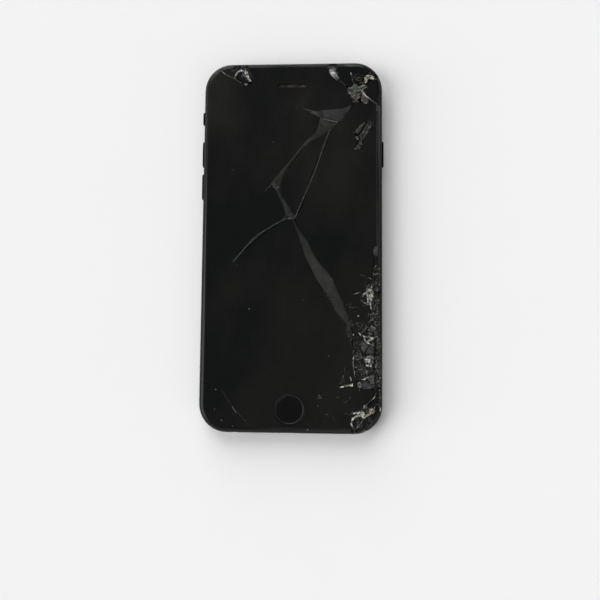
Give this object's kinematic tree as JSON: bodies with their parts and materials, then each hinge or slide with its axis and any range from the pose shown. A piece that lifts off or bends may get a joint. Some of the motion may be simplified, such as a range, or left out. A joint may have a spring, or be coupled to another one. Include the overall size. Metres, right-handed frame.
{
  "type": "smartphone with shattered screen",
  "caption": "Flat black touch-screen phone lying on its back, its glass front cracked into shards and crushed at the corners, with side keys, a round home button and a card tray.",
  "frame": {"origin": "on the back face, under the middle of the phone", "axes": "+Z out of the screen, +Y to the earpiece end, +X to the side with the power button"},
  "size_m": [0.068, 0.1384, 0.0073],
  "materials": {
    "housing_metal": "black anodised, satin, scuffed at the corners",
    "band_plastic": "matte",
    "key_metal": "black anodised, satin",
    "steel": "pressed sheet",
    "black_plastic": "moulded",
    "battery_wrap": "smooth film",
    "circuit_board": "lacquered",
    "ring_metal": "turned, dark",
    "lens_glass": "polished",
    "flash_lens": "clear over a warm diode",
    "mesh_metal": "woven mesh, dusty",
    "seal_foam": "matte foam",
    "display_black": "switched off",
    "screen_glass": "polished front over a black back, grey on its broken faces",
    "crushed_glass": "frosted by fine fractures"
  },
  "bodies": {
    "phone_body": {"rear_housing": "housing_metal", "antenna_band_top": "band_plastic", "antenna_band_bottom": "band_plastic", "side_key_bracket_left": "steel", "side_key_bracket_right": "steel", "sim_reader": "steel", "charge_port_shell": "steel", "charge_port_tongue": "black_plastic", "headphone_socket": "black_plastic", "loudspeaker": "black_plastic", "vibration_motor": "steel", "bottom_screw_left": "key_metal", "bottom_screw_right": "key_metal", "battery": "battery_wrap", "logic_board": "circuit_board", "board_shield_large": "steel", "rear_camera_module": "black_plastic", "rear_camera_ring": "ring_metal", "rear_camera_window": "lens_glass", "flash_window": "flash_lens", "front_camera": "lens_glass", "proximity_sensor": "lens_glass", "earpiece_speaker": "black_plastic", "earpiece_mesh": "mesh_metal", "display_seal": "seal_foam", "display_frame": "black_plastic", "lcd_panel": "display_black", "display_shield": "steel", "home_button_bracket": "steel", "glass_main_panel": "screen_glass", "glass_middle_shard": "screen_glass", "glass_right_panel": "screen_glass", "glass_top_left_chip": "screen_glass", "glass_top_left_flake": "screen_glass", "glass_corner_wedge": "crushed_glass", "glass_corner_upper": "screen_glass", "glass_corner_side": "screen_glass", "glass_lump_upper": "crushed_glass", "glass_lump_lower": "crushed_glass", "glass_lump_side": "crushed_glass", "glass_sliver_1": "screen_glass", "glass_sliver_2": "screen_glass", "glass_sliver_3": "screen_glass", "glass_edge_strip_1": "screen_glass", "glass_edge_strip_2": "screen_glass", "glass_edge_strip_3": "screen_glass", "glass_flake_1": "screen_glass", "glass_flake_2": "screen_glass", "glass_flake_3": "screen_glass", "glass_flake_4": "screen_glass", "glass_triangle": "screen_glass", "glass_bottom_corner": "screen_glass", "glass_bottom_sliver": "screen_glass"},
    "home_button": {"home_button_cap": "screen_glass", "home_button_ring": "ring_metal"},
    "power_key": {"power_button": "key_metal"},
    "volume_up_key": {"volume_up_button": "key_metal"},
    "volume_down_key": {"volume_down_button": "key_metal"},
    "ring_lever": {"ring_switch": "key_metal"},
    "card_tray": {"sim_tray": "key_metal"}
  },
  "joints": [
    {"name": "home_button_press", "type": "slide", "parent": "phone_body", "child": "home_button", "axis": [0, 0, -1], "range_m": [0, 0.0003], "stiffness_N_per_m": 1500},
    {"name": "power_press", "type": "slide", "parent": "phone_body", "child": "power_key", "axis": [-1, 0, 0], "range_m": [0, 0.0003], "stiffness_N_per_m": 1500},
    {"name": "volume_up_press", "type": "slide", "parent": "phone_body", "child": "volume_up_key", "axis": [1, 0, 0], "range_m": [0, 0.0003], "stiffness_N_per_m": 1500},
    {"name": "volume_down_press", "type": "slide", "parent": "phone_body", "child": "volume_down_key", "axis": [1, 0, 0], "range_m": [0, 0.0003], "stiffness_N_per_m": 1500},
    {"name": "ring_switch_slide", "type": "slide", "parent": "phone_body", "child": "ring_lever", "axis": [0, 0, -1], "range_m": [0, 0.0009]},
    {"name": "card_tray_slide", "type": "slide", "parent": "phone_body", "child": "card_tray", "axis": [1, 0, 0], "range_m": [0, 0.02]}
  ]
}
